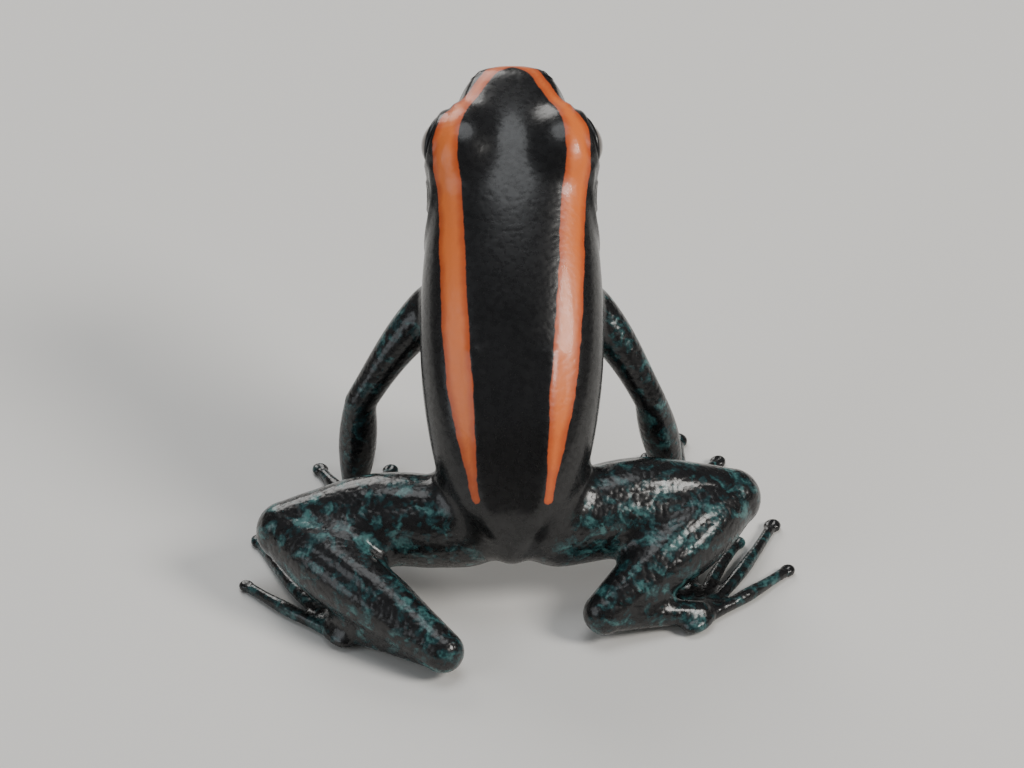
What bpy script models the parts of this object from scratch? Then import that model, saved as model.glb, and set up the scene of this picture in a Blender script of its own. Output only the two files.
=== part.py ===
"""A still, life-size golfodulcean poison frog that sits upright on its folded hind legs.

The frog looks along -Y, its left side is at +X, and its hands and feet stand on the plane z = 0.
Every size below is in millimetres until a finished node is scaled to metres. The body, limbs and
digits are lofts of rounded sections, a node's pieces are joined by one Boolean union, and the
nodes are parted by thin cuts at the joints.
"""

import math

import bmesh
import bpy
import numpy as np
from mathutils import Matrix, Vector

MM = 0.001
GAP = 0.3  # between two nodes that touch
EYE_GAP = 0.2  # between an eye and its socket

# Driving dimensions.
SNOUT_VENT = 26.0
VENT_BACK = 9.5  # from the origin of the pose back to the vent
VENT_UP = 3.2
EYE_RADIUS = 0.055 * SNOUT_VENT
NECK_AT = 0.685  # share of the snout-vent length, from the vent

# How steeply the axis of the body climbs, in degrees, at shares of its length from the vent.
PITCH_AT = (0.0, 0.15, 0.30, 0.50, 0.64, 0.74, 0.84, 1.0)
PITCH = (60.0, 55.0, 49.0, 43.0, 39.0, 32.0, 26.0, 24.0)

# The body's sections, in shares of the snout-vent length: where, half width, height above and
# depth below the widest line. On the head that line is the mouth.
BODY = (
    (0.00, 0.078, 0.062, 0.058),
    (0.06, 0.102, 0.078, 0.074),
    (0.14, 0.134, 0.099, 0.100),
    (0.25, 0.162, 0.122, 0.138),
    (0.38, 0.178, 0.128, 0.158),
    (0.50, 0.179, 0.128, 0.152),
    (0.60, 0.173, 0.124, 0.130),
    (0.68, 0.166, 0.120, 0.104),
    (0.74, 0.164, 0.119, 0.086),
    (0.82, 0.152, 0.117, 0.070),
    (0.90, 0.120, 0.103, 0.056),
    (0.96, 0.092, 0.088, 0.046),
    (1.00, 0.076, 0.078, 0.038),
)
SQUARE_ABOVE = 2.3  # exponent of the superellipse over the widest line, on the trunk
SQUARE_HEAD = 2.9  # and on the head, whose top is flatter
SQUARE_BELOW = 2.15
RUMP_ROUND = 0.115 * SNOUT_VENT  # length over which each end of the body closes
SNOUT_ROUND = 0.075 * SNOUT_VENT
SNOUT_LEAN = 0.22  # how far the front of the snout leans over the lower jaw, per unit of height

EYE_AT = 0.808
EYE_OUT = 0.116 * SNOUT_VENT
EYE_ABOVE = 0.061 * SNOUT_VENT
EYE_AIM = (0.90, -0.34, 0.12)  # where the left eye looks
LIDS = 1.99  # radius of the lids' bulge
LIDS_INSIDE = 0.52  # how far its middle lies behind the middle of the eye
LIDS_LENGTH = 1.17  # how much longer than high it is
LIDS_BLEND = 1.0  # width over which it runs out into the head

EAR_AT = 0.724
EAR_ANGLE = 7.0  # degrees above the widest line
EAR_RADIUS = 0.027 * SNOUT_VENT
EAR_RIM = 0.14

MOUTH_FROM = 0.745  # the corner of the mouth
MOUTH_DROP = 9.0  # degrees by which the corner lies under the front of the mouth
MOUTH_RADIUS = 0.17

NOSTRIL_AT = 0.955
NOSTRIL_ANGLE = 46.0
NOSTRIL_RADIUS = 0.17

# Joints of each side as (x, y, z). The left leg lies a little further back than the right one.
JOINTS = {
    "left": {
        "shoulder": (2.5, -1.6, 13.1),
        "elbow": (7.8, 0.6, 7.0),
        "wrist": (8.2, 1.4, 0.95),
        "hip": (2.3, 7.5, 4.2),
        "knee": (11.5, 7.2, 3.6),
        "heel": (3.5, 14.5, 1.4),
        "sole": (8.8, 11.4, 0.62),
    },
    "right": {
        "shoulder": (-2.5, -1.6, 13.1),
        "elbow": (-7.1, 0.7, 7.2),
        "wrist": (-8.5, 0.5, 0.95),
        "hip": (-2.3, 7.5, 4.2),
        "knee": (-11.2, 4.9, 4.0),
        "heel": (-4.7, 11.4, 1.5),
        "sole": (-9.5, 10.2, 0.62),
    },
}
HAND_HEADING = {"left": -14.0, "right": -8.0}  # degrees outwards from straight ahead
FOOT_HEADING = {"left": 24.0, "right": 22.0}

# Half thickness of each limb at shares of its length from the upper joint to the lower one.
UPPER_ARM = ((0.0, 1.35), (0.3, 1.24), (0.6, 1.00), (0.85, 0.84), (1.0, 0.80))
FOREARM = ((0.0, 0.80), (0.3, 0.98), (0.6, 0.86), (0.85, 0.62), (1.0, 0.58))
WRIST = ((0.0, 0.64), (0.5, 0.56), (1.0, 0.46))
THIGH = ((0.0, 2.25), (0.3, 2.45), (0.6, 2.28), (0.85, 1.80), (1.0, 1.55))
SHANK = ((0.0, 1.50), (0.25, 1.90), (0.5, 1.84), (0.8, 1.38), (1.0, 1.10))
TARSUS = ((0.0, 1.00), (0.3, 0.86), (0.7, 0.70), (1.0, 0.64))
ARM_BOW = 0.35  # how far the middle of each limb bulges to the outside
THIGH_BOW = 0.35
SHANK_BOW = 0.25

# Each digit: degrees outwards from the heading of its hand or foot, length, disc half width.
FINGERS = ((-46.0, 3.9, 0.42), (-14.0, 3.7, 0.42), (14.0, 5.2, 0.50), (46.0, 3.8, 0.42))
TOES = (
    (-44.0, 3.9, 0.34),
    (-24.0, 5.3, 0.38),
    (-7.0, 7.2, 0.42),
    (7.0, 9.3, 0.44),
    (27.0, 6.4, 0.38),
)
PALM = (1.15, 0.95, 0.52)  # half length, half width and half height
SOLE = (1.45, 0.85, 0.50)
DIGIT_RADIUS = (0.40, 0.33, 0.29)  # at the root, the middle and the neck of the disc
DISC_LENGTH = 1.15  # of the disc's half width
DISC_HEIGHT = 0.27
DIGIT_SINK = 0.06  # how far a digit's underside is pressed flat on the floor
DIGIT_CURL = 7.0  # degrees by which a digit curves back towards its heading

SKIN = (0.012, 0.013, 0.015)
LEG_SKIN = (0.030, 0.062, 0.066)
EYE_COLOUR = (0.010, 0.006, 0.004)


def clear_scene():
    for found in list(bpy.data.objects):
        bpy.data.objects.remove(found)


def material(name, colour, roughness):
    """A Principled material with one colour."""
    made = bpy.data.materials.new(name)
    made.use_nodes = True
    shader = made.node_tree.nodes["Principled BSDF"]
    shader.inputs["Base Color"].default_value = (*colour, 1.0)
    shader.inputs["Roughness"].default_value = roughness
    return made


def unit(vector):
    vector = np.asarray(vector, float)
    return vector / np.linalg.norm(vector)


def smooth_through(knots, values, at):
    """The natural cubic spline through (knots, values), read at the places in at."""
    knots, values = np.asarray(knots, float), np.asarray(values, float)
    values = values.reshape(len(knots), -1)
    steps, rises = np.diff(knots), np.diff(values, axis=0)
    system, right = np.eye(len(knots)), np.zeros_like(values)
    for i in range(1, len(knots) - 1):
        system[i, i - 1 : i + 2] = steps[i - 1], 2 * (steps[i - 1] + steps[i]), steps[i]
        right[i] = 6 * (rises[i] / steps[i] - rises[i - 1] / steps[i - 1])
    bends = np.linalg.solve(system, right)
    at = np.clip(np.asarray(at, float), knots[0], knots[-1])
    i = np.clip(np.searchsorted(knots, at) - 1, 0, len(knots) - 2)
    step = steps[i][:, None]
    after, before = (at - knots[i])[:, None], (knots[i + 1] - at)[:, None]
    return (
        (bends[i] * before**3 + bends[i + 1] * after**3) / (6 * step)
        + (values[i] / step - bends[i] * step / 6) * before
        + (values[i + 1] / step - bends[i + 1] * step / 6) * after
    )


def spine(along):
    """Points (y, z) of the body's axis at distances along it from the vent, and its pitch there.

    The axis is the integral of its own slope, and runs on straight past both ends.
    """
    fine = np.linspace(0.0, 1.0, 401)
    pitch = np.radians(smooth_through(PITCH_AT, PITCH, fine)[:, 0])
    middle = (pitch[1:] + pitch[:-1]) / 2
    step = SNOUT_VENT / (len(fine) - 1)
    ahead = np.concatenate([[0.0], np.cumsum(np.cos(middle) * step)])
    up = np.concatenate([[0.0], np.cumsum(np.sin(middle) * step)])
    inside = np.clip(along, 0.0, SNOUT_VENT)
    past = along - inside
    here = np.interp(inside / SNOUT_VENT, fine, pitch)
    y = VENT_BACK - np.interp(inside / SNOUT_VENT, fine, ahead) - past * np.cos(here)
    z = VENT_UP + np.interp(inside / SNOUT_VENT, fine, up) + past * np.sin(here)
    return y, z, here


def rise(value, low, high):
    """Goes from 0 at low to 1 at high along a smooth S."""
    share = np.clip((value - low) / (high - low), 0.0, 1.0)
    return share * share * (3 - 2 * share)


def closing(distance, length, power):
    """Rises from 0 at an end of the body to 1 at this length from it, as a rounded nose does."""
    share = np.clip(distance / length, 0.0, 1.0)
    return (1.0 - (1.0 - share) ** power) ** (1.0 / power)


def body_surface(along, angle, grow=0.0):
    """Points of the body's skin, grown outwards by grow.

    Each section is a superellipse across the axis with its own height and depth, at an angle
    from the left side (0 degrees) over the back (90) to the right side (180).
    """
    along, angle = np.broadcast_arrays(np.asarray(along, float), np.radians(angle))
    flat = along.ravel()
    table = np.array(BODY)
    sizes = smooth_through(table[:, 0], table[:, 1:] * SNOUT_VENT, flat / SNOUT_VENT)
    closed = closing(flat + grow, RUMP_ROUND + grow, 2.0)
    closed *= closing(SNOUT_VENT + grow - flat, SNOUT_ROUND + grow, 2.4)
    half, above, below = ((sizes[:, i] + grow) * closed for i in range(3))
    cosine, sine = np.cos(angle).ravel(), np.sin(angle).ravel()
    square = SQUARE_ABOVE + (SQUARE_HEAD - SQUARE_ABOVE) * rise(flat / SNOUT_VENT, 0.62, 0.80)
    power = 2.0 / np.where(sine >= 0, square, SQUARE_BELOW)
    across = half * np.sign(cosine) * np.abs(cosine) ** power
    height = np.where(sine >= 0, above, below) * np.sign(sine) * np.abs(sine) ** power
    lean = SNOUT_LEAN * np.clip(1 - (SNOUT_VENT - flat) / (0.22 * SNOUT_VENT), 0, 1) ** 2
    y, z, pitch = spine(flat)
    forward = height * lean
    points = np.stack(
        [
            across,
            y - forward * np.cos(pitch) + height * np.sin(pitch),
            z + forward * np.sin(pitch) + height * np.cos(pitch),
        ],
        axis=-1,
    )
    return points.reshape(*along.shape, 3)


def body_normal(along, angle):
    """The outward direction of the skin at one place, from two short steps along it."""
    step = 0.05
    here = body_surface(along, angle)
    one = body_surface(along + step, angle) - here
    other = body_surface(along, angle + 1.0) - here
    return unit(np.cross(other, one))


def body_rings(grow, rings, around, start=0.0, end=1.0):
    """Rings over the body between two shares of its length, closer together at its ends.

    Where a stretch starts or ends inside the body, its first or last ring is there twice, so
    that the loft closes it with a flat cap.
    """
    turn_from = 0.0 if start <= 0 else math.pi / 2
    turn_to = math.pi if end >= 1 else math.pi / 2
    turn = np.linspace(turn_from, turn_to, rings)
    fall = (math.cos(turn_from) - np.cos(turn)) / (math.cos(turn_from) - math.cos(turn_to))
    mixed = 0.6 * fall + 0.4 * np.linspace(0, 1, rings)
    low = -grow if start <= 0 else start * SNOUT_VENT
    high = SNOUT_VENT + grow if end >= 1 else end * SNOUT_VENT
    along = low + mixed * (high - low)
    if start > 0:
        along = np.concatenate([along[:1], along])
    if end < 1:
        along = np.concatenate([along, along[-1:]])
    angle = np.linspace(0.0, 360.0, around, endpoint=False)
    return body_surface(along[:, None], angle[None, :], grow)


def tube_rings(points, radii, rings, around, hint=(0, 0, 1)):
    """Rings of a rounded tube through the points, closed by a half ball at each end.

    radii is (share of the length, radius) at its stations, and hint is the direction that the
    height of its section follows.
    """
    points = np.asarray(points, float)
    chord = np.concatenate([[0], np.cumsum(np.linalg.norm(np.diff(points, axis=0), axis=1))])
    length = chord[-1]
    first, last = radii[0][1], radii[-1][1]
    turn = np.linspace(0, math.pi / 2, 5)[:-1]
    at = np.concatenate(
        [
            -first * np.cos(turn),
            np.linspace(0, length, rings),
            length + last * np.cos(turn[::-1]),
        ]
    )
    inside = np.clip(at, 0, length)
    centre = smooth_through(chord, points, inside)
    step = length * 0.01
    ahead = smooth_through(chord, points, np.clip(inside + step, 0, length))
    behind = smooth_through(chord, points, np.clip(inside - step, 0, length))
    tangent = ahead - behind
    tangent /= np.linalg.norm(tangent, axis=1)[:, None]
    past = at - inside
    centre = centre + tangent * past[:, None]
    stations = np.array(radii, float)
    radius = smooth_through(stations[:, 0], stations[:, 1], inside / length)[:, 0]
    end = np.where(past < 0, first, last)
    radius = radius * np.sqrt(np.clip(1 - (past / end) ** 2, 0, 1))
    side = np.cross(tangent, np.asarray(hint, float))
    side /= np.linalg.norm(side, axis=1)[:, None]
    over = np.cross(side, tangent)
    turn = np.linspace(0, 2 * math.pi, around, endpoint=False)[None, :, None]
    reach = radius[:, None, None]
    ring = np.cos(turn) * side[:, None] + np.sin(turn) * over[:, None]
    return centre[:, None] + reach * ring


def ball_rings(centre, ahead, sizes, rings=9, around=14, up=(0, 0, 1)):
    """Rings of an ellipsoid: half length along ahead, half width, and half height."""
    ahead = unit(ahead)
    side = unit(np.cross(ahead, up))
    over = np.cross(side, ahead)
    length, wide, high = sizes
    fall = np.linspace(-math.pi / 2, math.pi / 2, rings)[:, None, None]
    turn = np.linspace(0, 2 * math.pi, around, endpoint=False)[None, :, None]
    ring = np.cos(turn) * side * wide + np.sin(turn) * over * high
    return np.asarray(centre, float) + np.sin(fall) * ahead * length + np.cos(fall) * ring


def loft(name, rings):
    """A closed mesh over the rings, whose first and last one shrink to a point each."""
    count, around = rings.shape[:2]
    sheet = bmesh.new()
    start = sheet.verts.new(rings[0].mean(axis=0))
    end = sheet.verts.new(rings[-1].mean(axis=0))
    loops = [[sheet.verts.new(point) for point in ring] for ring in rings[1:-1]]
    for i in range(around):
        j = (i + 1) % around
        sheet.faces.new((start, loops[0][j], loops[0][i]))
        sheet.faces.new((end, loops[-1][i], loops[-1][j]))
        for low, high in zip(loops, loops[1:]):
            sheet.faces.new((low[i], low[j], high[j], high[i]))
    bmesh.ops.recalc_face_normals(sheet, faces=sheet.faces)
    mesh = bpy.data.meshes.new(name)
    sheet.to_mesh(mesh)
    sheet.free()
    made = bpy.data.objects.new(name, mesh)
    bpy.context.scene.collection.objects.link(made)
    return made


def keep_largest(made):
    """Drops every loose scrap but the largest closed surface."""
    sheet = bmesh.new()
    sheet.from_mesh(made.data)
    sheet.verts.ensure_lookup_table()
    left, groups = set(sheet.verts), []
    while left:
        group, todo = set(), [left.pop()]
        while todo:
            vert = todo.pop()
            group.add(vert)
            for edge in vert.link_edges:
                other = edge.other_vert(vert)
                if other in left:
                    left.discard(other)
                    todo.append(other)
        groups.append(group)
    groups.sort(key=len)
    scraps = [vert for group in groups[:-1] for vert in group]
    bmesh.ops.delete(sheet, geom=scraps, context="VERTS")
    sheet.to_mesh(made.data)
    sheet.free()


def apply_modifiers(made):
    graph = bpy.context.evaluated_depsgraph_get()
    mesh = bpy.data.meshes.new_from_object(made.evaluated_get(graph))
    made.modifiers.clear()
    made.data = mesh


def fuse(name, pieces, operation="UNION"):
    """Joins the pieces to the first one, or cuts them from it, and leaves one closed body."""
    made, others = pieces[0], pieces[1:]
    helpers = bpy.data.collections.new(name + "_pieces")
    bpy.context.scene.collection.children.link(helpers)
    for piece in others:
        bpy.context.scene.collection.objects.unlink(piece)
        helpers.objects.link(piece)
    joining = made.modifiers.new("join", "BOOLEAN")
    joining.operation = operation
    joining.operand_type = "COLLECTION"
    joining.collection = helpers
    joining.solver = "EXACT"
    apply_modifiers(made)
    for piece in others:
        bpy.data.objects.remove(piece)
    bpy.data.collections.remove(helpers)
    keep_largest(made)
    made.name = name
    return made


def slice_off(made, point, keep):
    """Cuts the mesh by the plane through point and keeps the side that keep points to."""
    sheet = bmesh.new()
    sheet.from_mesh(made.data)
    parts = sheet.verts[:] + sheet.edges[:] + sheet.faces[:]
    cut = bmesh.ops.bisect_plane(
        sheet, geom=parts, dist=1e-5, plane_co=point, plane_no=keep, clear_inner=True
    )
    rim = [part for part in cut["geom_cut"] if isinstance(part, bmesh.types.BMEdge)]
    if rim:
        bmesh.ops.edgeloop_fill(sheet, edges=rim)
    bmesh.ops.recalc_face_normals(sheet, faces=sheet.faces)
    sheet.to_mesh(made.data)
    sheet.free()
    keep_largest(made)
    return made


def part_at(made, joint, near, far):
    """Keeps the near side of a joint, half a gap short of the plane that halves its angle."""
    keep = unit(unit(np.subtract(near, joint)) - unit(np.subtract(far, joint)))
    return slice_off(made, Vector(joint + keep * GAP / 2), Vector(keep))


def stand_flat(made):
    """Cuts off what reaches under the floor, so that it stands on small flats."""
    floor = bpy.data.meshes.new("floor")
    block = bmesh.new()
    bmesh.ops.create_cube(block, size=60.0, matrix=Matrix.Translation((0, 0, -30.0)))
    block.to_mesh(floor)
    block.free()
    cutter = bpy.data.objects.new("floor", floor)
    bpy.context.scene.collection.objects.link(cutter)
    return fuse(made.name, [made, cutter], "DIFFERENCE")


def body_cutter():
    """The whole body grown by the gap, to trim what grows from it."""
    return loft("cutter", body_rings(GAP, 36, 30))


def neck_plane(offset):
    y, z, pitch = (float(v[0]) for v in spine(np.array([NECK_AT * SNOUT_VENT + offset])))
    return Vector((0, y, z)), Vector((0, -math.cos(pitch), math.sin(pitch)))


def make_torso():
    point, ahead = neck_plane(-GAP / 2)
    trunk = loft("torso", body_rings(0.0, 24, 34, 0.0, NECK_AT + 0.05))
    return slice_off(trunk, point, -ahead)


def eye_place(side):
    y, z, pitch = (float(v[0]) for v in spine(np.array([EYE_AT * SNOUT_VENT])))
    up = np.array([0, math.sin(pitch), math.cos(pitch)])
    centre = np.array([side * EYE_OUT, y, z]) + up * EYE_ABOVE
    aim = unit(np.array(EYE_AIM) * (side, 1, 1))
    return centre, aim, up


def make_eye(name, side):
    centre, aim, up = eye_place(side)
    return loft(name, ball_rings(centre, aim, (EYE_RADIUS,) * 3, 11, 20, up))


def with_lids(points):
    """Swells the head's skin round both eyes, where the lids are.

    Each point closer to the eye than the lids' radius moves out to it, along the line from the
    middle of the eye, and a rounded blend joins the bulge to the skin around it.
    """
    for side in (1, -1):
        centre, aim, up = eye_place(side)
        ahead = unit(np.cross((1, 0, 0), up))
        spoke = points - (centre - aim * LIDS_INSIDE)
        reach = spoke - ahead * (spoke @ ahead)[..., None] * (1 - 1 / LIDS_LENGTH)
        far = np.linalg.norm(reach, axis=-1)
        near = np.clip(1 - np.abs(far - LIDS) / LIDS_BLEND, 0, 1)
        wanted = np.maximum(far, LIDS) + near**2 * LIDS_BLEND / 4
        points = points + spoke * (wanted / far - 1)[..., None]
    return points


def eye_openings(side):
    """The cutters that open the lids: the socket of the eye and the slit before it."""
    centre, aim, up = eye_place(side)
    socket = loft("socket", ball_rings(centre, aim, (EYE_RADIUS + EYE_GAP,) * 3, 11, 20, up))
    opening = (EYE_RADIUS * 1.3, EYE_RADIUS * 1.13, EYE_RADIUS * 1.00)
    slit = loft("slit", ball_rings(centre + aim * EYE_RADIUS, aim, opening, 9, 20, up))
    return [socket, slit]


def ear_rim(side):
    """The raised rim round the ear drum: a ring that lies in the skin."""
    angle = EAR_ANGLE if side > 0 else 180 - EAR_ANGLE
    along = EAR_AT * SNOUT_VENT
    centre, out = with_lids(body_surface(along, angle)), body_normal(along, angle)
    across = unit(np.cross(out, (0, 0, 1)))
    over = np.cross(across, out)
    turns, around = 20, 8
    turn = np.linspace(0, 2 * math.pi, turns, endpoint=False)[:, None, None]
    roll = np.linspace(0, 2 * math.pi, around, endpoint=False)[None, :, None]
    spoke = np.cos(turn) * across + np.sin(turn) * over
    sunk = centre - out * EAR_RIM * 0.45
    ring = sunk + spoke * (EAR_RADIUS + EAR_RIM * np.cos(roll)) + out * EAR_RIM * np.sin(roll)
    sheet = bmesh.new()
    verts = [[sheet.verts.new(point) for point in loop] for loop in ring]
    for i in range(turns):
        for j in range(around):
            i2, j2 = (i + 1) % turns, (j + 1) % around
            sheet.faces.new((verts[i][j], verts[i2][j], verts[i2][j2], verts[i][j2]))
    bmesh.ops.recalc_face_normals(sheet, faces=sheet.faces)
    mesh = bpy.data.meshes.new("ear_rim")
    sheet.to_mesh(mesh)
    sheet.free()
    made = bpy.data.objects.new("ear_rim", mesh)
    bpy.context.scene.collection.objects.link(made)
    return made


def mouth_line():
    """A thin cutter along the mouth, from corner to corner round the front of the snout."""
    share = np.linspace(0, 1, 15)
    along = (MOUTH_FROM + (1 - MOUTH_FROM) * np.sin(share * math.pi / 2)) * SNOUT_VENT
    drop = -MOUTH_DROP * (1 - share) ** 2
    left = with_lids(body_surface(along, drop))
    right = with_lids(body_surface(along, 180 - drop))[-2::-1]
    route = np.concatenate([left, right])
    radii = ((0.0, MOUTH_RADIUS * 0.7), (0.5, MOUTH_RADIUS), (1.0, MOUTH_RADIUS * 0.7))
    return loft("mouth", tube_rings(route, radii, 46, 6))


def nostril(side):
    angle = NOSTRIL_ANGLE if side > 0 else 180 - NOSTRIL_ANGLE
    along = NOSTRIL_AT * SNOUT_VENT
    centre, out = body_surface(along, angle), body_normal(along, angle)
    sizes = (NOSTRIL_RADIUS * 1.4, NOSTRIL_RADIUS, NOSTRIL_RADIUS * 1.2)
    return loft("nostril", ball_rings(centre, out, sizes, 7, 8))


def make_head():
    point, ahead = neck_plane(GAP / 2)
    rings = with_lids(body_rings(0.0, 30, 44, NECK_AT - 0.05, 1.0))
    pieces = [slice_off(loft("head", rings), point, ahead)]
    cutters = [mouth_line()]
    for side in (1, -1):
        pieces.append(ear_rim(side))
        cutters += [*eye_openings(side), nostril(side)]
    head = fuse("head", pieces)
    return fuse("head", [head, *cutters], "DIFFERENCE")


def bowed(start, end, bow):
    """Three points from start to end, the middle one pushed aside by bow."""
    start, end = np.asarray(start, float), np.asarray(end, float)
    return [start, (start + end) / 2 + np.asarray(bow, float), end]


def make_upper_arm(side, at):
    out = math.copysign(ARM_BOW, at["elbow"][0])
    route = bowed(at["shoulder"], at["elbow"], (out, ARM_BOW / 2, ARM_BOW))
    arm = loft("upper_arm_" + side, tube_rings(route, UPPER_ARM, 9, 16, hint=(0, 1, 0)))
    arm = part_at(arm, at["elbow"], at["shoulder"], at["wrist"])
    return fuse(arm.name, [arm, body_cutter()], "DIFFERENCE")


def make_forearm(side, at):
    route = bowed(at["elbow"], at["wrist"], (0, -0.15, 0))
    arm = loft("forearm_" + side, tube_rings(route, FOREARM, 9, 14, hint=(0, 1, 0)))
    arm = part_at(arm, at["elbow"], at["wrist"], at["shoulder"])
    return part_at(arm, at["wrist"], at["elbow"], palm_centre(side, at))


def heading_vector(degrees, side):
    """A level direction turned outwards from straight ahead by this angle."""
    turn = math.radians(degrees)
    out = 1 if side == "left" else -1
    return np.array([out * math.sin(turn), -math.cos(turn), 0.0])


def palm_centre(side, at):
    x, y, _ = at["wrist"]
    ahead = heading_vector(HAND_HEADING[side], side) * PALM[0]
    return np.array([x, y, PALM[2] - DIGIT_SINK]) + ahead


def digit(root, degrees, length, disc, side, fan):
    """A finger or toe that leaves its root, curves back towards the heading and ends in a disc."""
    ahead = heading_vector(degrees, side)
    bent = heading_vector(degrees - math.copysign(DIGIT_CURL, fan), side)
    base, middle, neck = DIGIT_RADIUS
    root = np.array([root[0], root[1], base - DIGIT_SINK])
    knuckle = root + ahead * length * 0.5
    knuckle[2] = middle - DIGIT_SINK + 0.10
    tip = knuckle + bent * (length * 0.5 - disc * DISC_LENGTH)
    tip[2] = neck - DIGIT_SINK
    radii = ((0.0, base), (0.5, middle), (1.0, neck))
    finger = loft("digit", tube_rings([root, knuckle, tip], radii, 7, 8))
    middle_of_disc = tip + bent * disc * 0.55
    middle_of_disc[2] = DISC_HEIGHT - DIGIT_SINK
    pad = loft("disc", ball_rings(middle_of_disc, bent, (disc * DISC_LENGTH, disc, DISC_HEIGHT), 7, 10))
    return [finger, pad]


def fan_of_digits(table, root, heading, side):
    """All digits of a hand or foot, their roots spread a little across it."""
    pieces = []
    for fan, length, disc in table:
        across = heading_vector(heading + 90, side) * math.sin(math.radians(fan)) * 0.55
        pieces += digit(root + across, heading + fan, length, disc, side, fan)
    return pieces


def make_hand(side, at):
    heading = HAND_HEADING[side]
    palm = palm_centre(side, at)
    ahead = heading_vector(heading, side)
    route = bowed(at["wrist"], palm, (0, 0, 0.1))
    wrist = loft("hand_" + side, tube_rings(route, WRIST, 6, 12))
    pieces = [
        part_at(wrist, at["wrist"], palm, at["elbow"]),
        loft("palm", ball_rings(palm, ahead, PALM, 9, 14)),
        *fan_of_digits(FINGERS, palm, heading, side),
    ]
    return stand_flat(fuse("hand_" + side, pieces))


def make_thigh(side, at):
    route = bowed(at["hip"], at["knee"], (0, -THIGH_BOW, THIGH_BOW))
    thigh = loft("thigh_" + side, tube_rings(route, THIGH, 13, 20))
    thigh = part_at(thigh, at["knee"], at["hip"], at["heel"])
    return fuse(thigh.name, [thigh, body_cutter()], "DIFFERENCE")


def make_shank(side, at):
    route = bowed(at["knee"], at["heel"], (0, SHANK_BOW, SHANK_BOW))
    shank = loft("shank_" + side, tube_rings(route, SHANK, 13, 18))
    shank = part_at(shank, at["knee"], at["heel"], at["hip"])
    return part_at(shank, at["heel"], at["knee"], at["sole"])


def make_foot(side, at):
    heading = FOOT_HEADING[side]
    heel, sole = np.array(at["heel"]), np.array(at["sole"])
    tarsus = loft("foot_" + side, tube_rings(bowed(heel, sole, (0, 0, 0.05)), TARSUS, 9, 14))
    pieces = [
        part_at(tarsus, at["heel"], at["sole"], at["knee"]),
        loft("sole", ball_rings(sole - (0, 0, 0.16), heading_vector(heading, side), SOLE, 9, 14)),
        *fan_of_digits(TOES, sole, heading, side),
    ]
    return stand_flat(fuse("foot_" + side, pieces))


def finish(nodes):
    """Scales the nodes to metres, with the middle of their box over the origin."""
    corners = np.array([vert.co for node in nodes for vert in node.data.vertices])
    middle = (corners.min(axis=0) + corners.max(axis=0)) / 2
    place = Matrix.Scale(MM, 4) @ Matrix.Translation((-middle[0], -middle[1], 0))
    for node in nodes:
        node.data.transform(place)
        node.data.shade_smooth()
        node.data.set_sharp_from_angle(angle=math.radians(40))


def main():
    clear_scene()
    skin = material("skin", SKIN, 0.35)
    leg_skin = material("leg_skin", LEG_SKIN, 0.35)
    eye = material("eye", EYE_COLOUR, 0.05)
    wears = {make_torso(): skin, make_head(): skin}
    wears[make_eye("eye_left", 1)] = eye
    wears[make_eye("eye_right", -1)] = eye
    for side, at in JOINTS.items():
        for make in (make_upper_arm, make_forearm, make_hand, make_thigh, make_shank, make_foot):
            wears[make(side, at)] = leg_skin
    finish(list(wears))
    for node, finish_of in wears.items():
        node.data.materials.clear()
        node.data.materials.append(finish_of)


main()
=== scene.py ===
"""The looks of a life-size golfodulcean poison frog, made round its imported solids.

One skin stands for all nodes of flesh. It is worked out in millimetres in the frog's own pose,
where the body lies in the plane x = 0, looks along -Y and stands on z = 0, and is then moved onto
the solids. The eyes and the rims of their lids are pieces of their own.
"""

import math

import bmesh
import bpy
import numpy as np
from bpy.props import FloatProperty, FloatVectorProperty, IntProperty, PointerProperty
from bpy.types import Operator, Panel, PropertyGroup
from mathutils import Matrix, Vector


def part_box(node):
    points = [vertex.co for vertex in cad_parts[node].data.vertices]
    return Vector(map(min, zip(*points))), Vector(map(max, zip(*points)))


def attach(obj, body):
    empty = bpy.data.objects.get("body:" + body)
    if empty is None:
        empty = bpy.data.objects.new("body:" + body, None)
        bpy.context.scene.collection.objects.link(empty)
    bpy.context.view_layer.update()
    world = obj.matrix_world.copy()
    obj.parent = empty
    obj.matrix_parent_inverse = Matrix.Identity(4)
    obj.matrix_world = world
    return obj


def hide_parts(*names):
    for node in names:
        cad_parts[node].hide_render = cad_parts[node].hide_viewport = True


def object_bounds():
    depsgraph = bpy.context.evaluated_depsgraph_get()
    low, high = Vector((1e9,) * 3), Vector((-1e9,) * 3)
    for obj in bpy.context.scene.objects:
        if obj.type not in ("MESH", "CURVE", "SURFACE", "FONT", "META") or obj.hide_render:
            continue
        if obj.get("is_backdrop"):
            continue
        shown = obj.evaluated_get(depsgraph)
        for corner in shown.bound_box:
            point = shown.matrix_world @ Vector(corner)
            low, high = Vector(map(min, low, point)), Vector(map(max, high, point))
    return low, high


bl_info = {
    "name": "Golfodulcean poison frog",
    "version": (1, 0, 0),
    "blender": (4, 5, 0),
    "location": "View3D > Sidebar > Frog",
    "description": "Gives the packed frog its skin, lids and eyes, and sets the stage round it",
    "category": "Object",
}

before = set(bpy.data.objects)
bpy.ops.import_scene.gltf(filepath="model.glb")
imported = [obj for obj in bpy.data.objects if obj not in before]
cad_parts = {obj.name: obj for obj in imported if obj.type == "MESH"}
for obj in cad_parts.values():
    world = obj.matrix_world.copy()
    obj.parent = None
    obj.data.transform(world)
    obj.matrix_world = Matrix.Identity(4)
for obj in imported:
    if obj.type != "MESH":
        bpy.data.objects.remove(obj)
CAD_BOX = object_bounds()

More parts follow.
